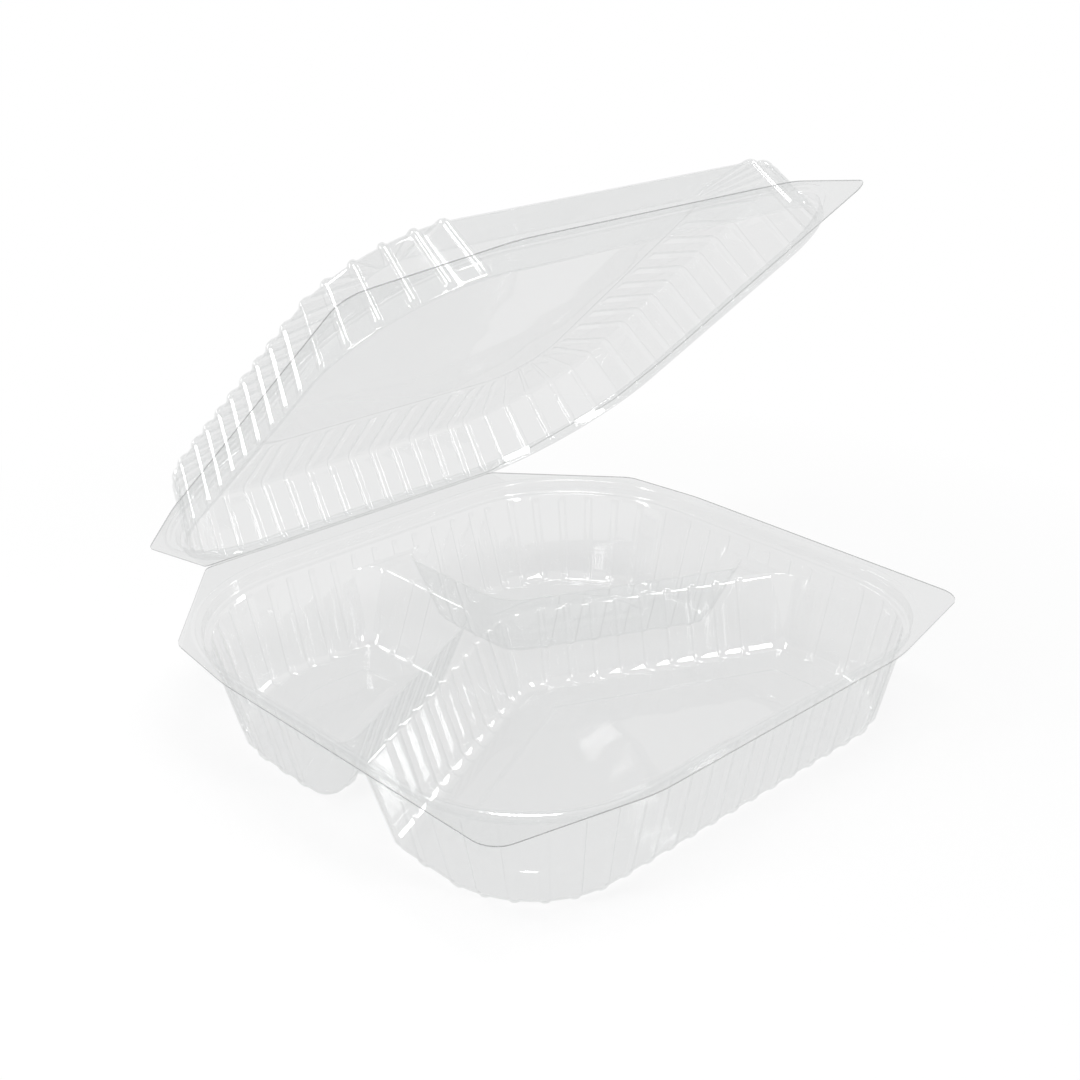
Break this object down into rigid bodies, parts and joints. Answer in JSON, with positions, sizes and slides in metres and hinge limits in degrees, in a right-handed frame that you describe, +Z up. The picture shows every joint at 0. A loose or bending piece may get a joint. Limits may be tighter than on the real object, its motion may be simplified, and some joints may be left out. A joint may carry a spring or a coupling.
{
  "type": "hinged food container",
  "caption": "Clear clamshell food container: a ribbed tray divided into pockets, joined along one edge to a low ribbed lid with a sunken panel.",
  "frame": {"origin": "on the plane the tray stands on, under the middle of the tray's flange, on the level border of the front pocket's floor", "axes": "+X along the hinge, +Y towards the hinge, +Z up"},
  "size_m": [0.228, 0.2103, 0.1883],
  "materials": {
    "tray_sheet": "clear, glossy",
    "lid_sheet": "clear, glossy"
  },
  "bodies": {
    "tray": {"base_tray": "tray_sheet"},
    "lid": {"lid": "lid_sheet"}
  },
  "joints": [
    {"name": "lid_fold", "type": "hinge", "parent": "tray", "child": "lid", "pos_m": [0, 0.105, 0.03965], "axis": [-1, 0, 0], "range_deg": [-44, 136]}
  ]
}
